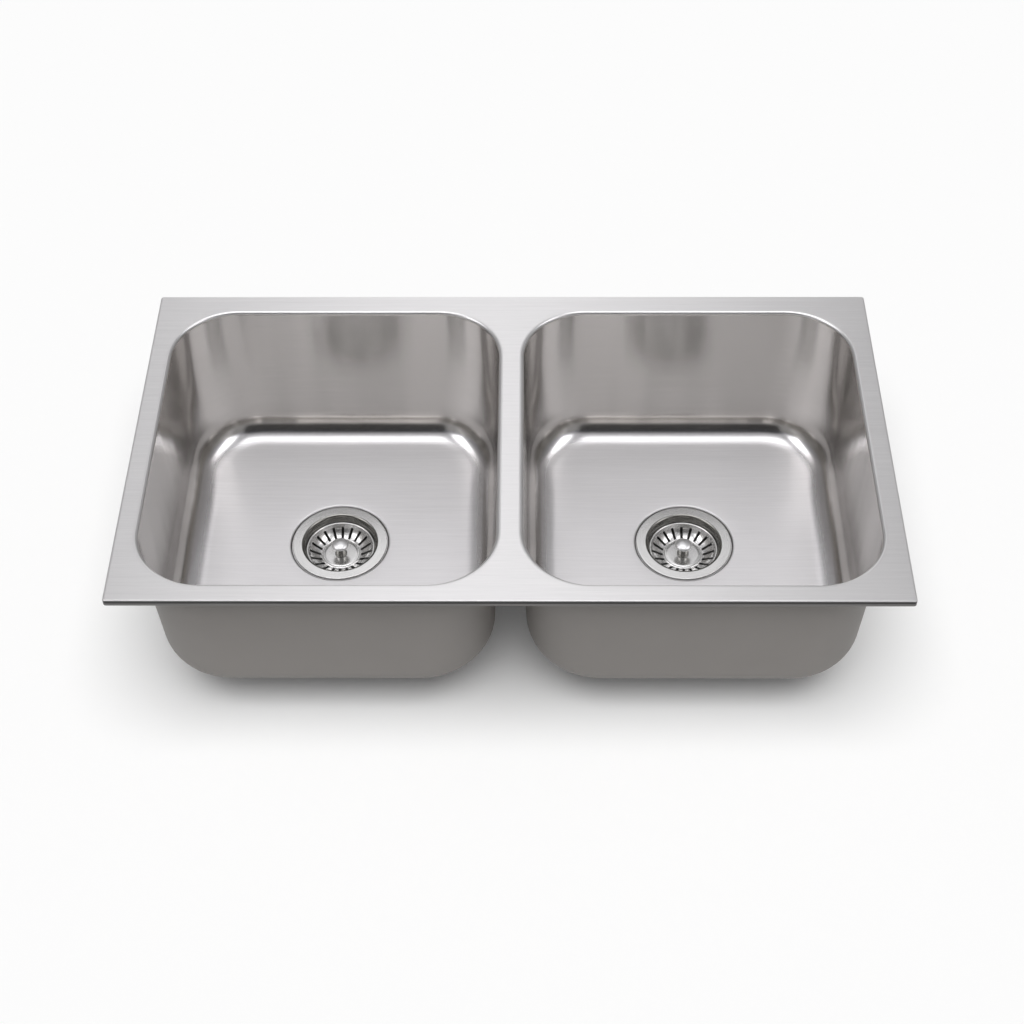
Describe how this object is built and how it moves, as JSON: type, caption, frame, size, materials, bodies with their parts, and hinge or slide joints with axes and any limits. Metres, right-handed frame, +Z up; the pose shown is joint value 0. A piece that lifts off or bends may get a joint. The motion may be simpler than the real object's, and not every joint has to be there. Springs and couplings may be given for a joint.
{
  "type": "double bowl kitchen sink",
  "caption": "Wide stainless steel inset sink with two deep round-cornered bowls side by side, each drained by a lift-out slotted basket strainer with a knob.",
  "frame": {"origin": "on the surface that the sink stands on, under the middle of the deck", "axes": "+X along the deck towards the right bowl, +Y from the front edge to the back, +Z up out of the bowls"},
  "size_m": [0.864, 0.482, 0.2536],
  "materials": {
    "sheet_steel": "fine brushed satin stainless steel",
    "strainer_steel": "bright satin stainless steel",
    "knob_chrome": "polished",
    "seal_rubber": "matt black rubber",
    "pad_rubber": "matt grey damping sheet",
    "fibre": "pressed brown fibre",
    "nut_metal": "plain cast brass",
    "washer_plastic": "milky polyethylene"
  },
  "bodies": {
    "sink": {"deck": "sheet_steel", "left_bowl": "sheet_steel", "left_sound_pad": "pad_rubber", "left_strainer_body": "strainer_steel", "left_flange_seal": "seal_rubber", "left_gasket": "seal_rubber", "left_friction_ring": "fibre", "left_lock_nut": "nut_metal", "left_tail_washer": "washer_plastic", "left_coupling_nut": "nut_metal", "right_bowl": "sheet_steel", "right_sound_pad": "pad_rubber", "right_strainer_body": "strainer_steel", "right_flange_seal": "seal_rubber", "right_gasket": "seal_rubber", "right_friction_ring": "fibre", "right_lock_nut": "nut_metal", "right_tail_washer": "washer_plastic", "right_coupling_nut": "nut_metal"},
    "left_basket": {"left_basket_shell": "strainer_steel", "left_basket_plate": "strainer_steel", "left_basket_knob": "knob_chrome", "left_basket_stem": "strainer_steel", "left_stopper": "seal_rubber", "left_stem_nut": "nut_metal"},
    "right_basket": {"right_basket_shell": "strainer_steel", "right_basket_plate": "strainer_steel", "right_basket_knob": "knob_chrome", "right_basket_stem": "strainer_steel", "right_stopper": "seal_rubber", "right_stem_nut": "nut_metal"}
  },
  "joints": [
    {"name": "left_basket_lift", "type": "slide", "parent": "sink", "child": "left_basket", "axis": [0, 0, 1], "range_m": [0, 0.08]},
    {"name": "right_basket_lift", "type": "slide", "parent": "sink", "child": "right_basket", "axis": [0, 0, 1], "range_m": [0, 0.08]}
  ]
}
